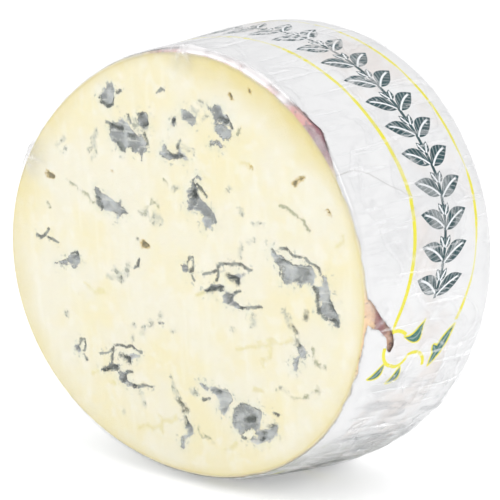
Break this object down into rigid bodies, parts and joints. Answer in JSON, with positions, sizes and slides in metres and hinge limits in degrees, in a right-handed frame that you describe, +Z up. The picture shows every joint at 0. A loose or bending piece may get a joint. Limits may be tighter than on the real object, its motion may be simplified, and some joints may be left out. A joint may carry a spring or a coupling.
{
  "type": "blue cheese end piece",
  "caption": "End piece of a small round blue cheese, cut square across, in a printed paper wrapper under clear cling film, lying on its side.",
  "frame": {"origin": "on the surface that the piece lies on, under the middle of its box", "axes": "+Z up, +Y back along the cheese's axis from the cut face to the heel, +X to the right seen from the cut face"},
  "size_m": [0.139, 0.0662, 0.1269],
  "materials": {
    "cheese": "moist ivory paste, yellower towards the rind, with blue-grey mould in its hollows and a brown and pink rind",
    "wrapping_paper": "white satin paper printed with a green leaf garland between two yellow lines",
    "cling_film": "clear glossy stretched film with a few creases"
  },
  "bodies": {
    "root": {"cheese": "cheese", "paper_wrapper": "wrapping_paper", "cling_film": "cling_film"}
  },
  "joints": []
}
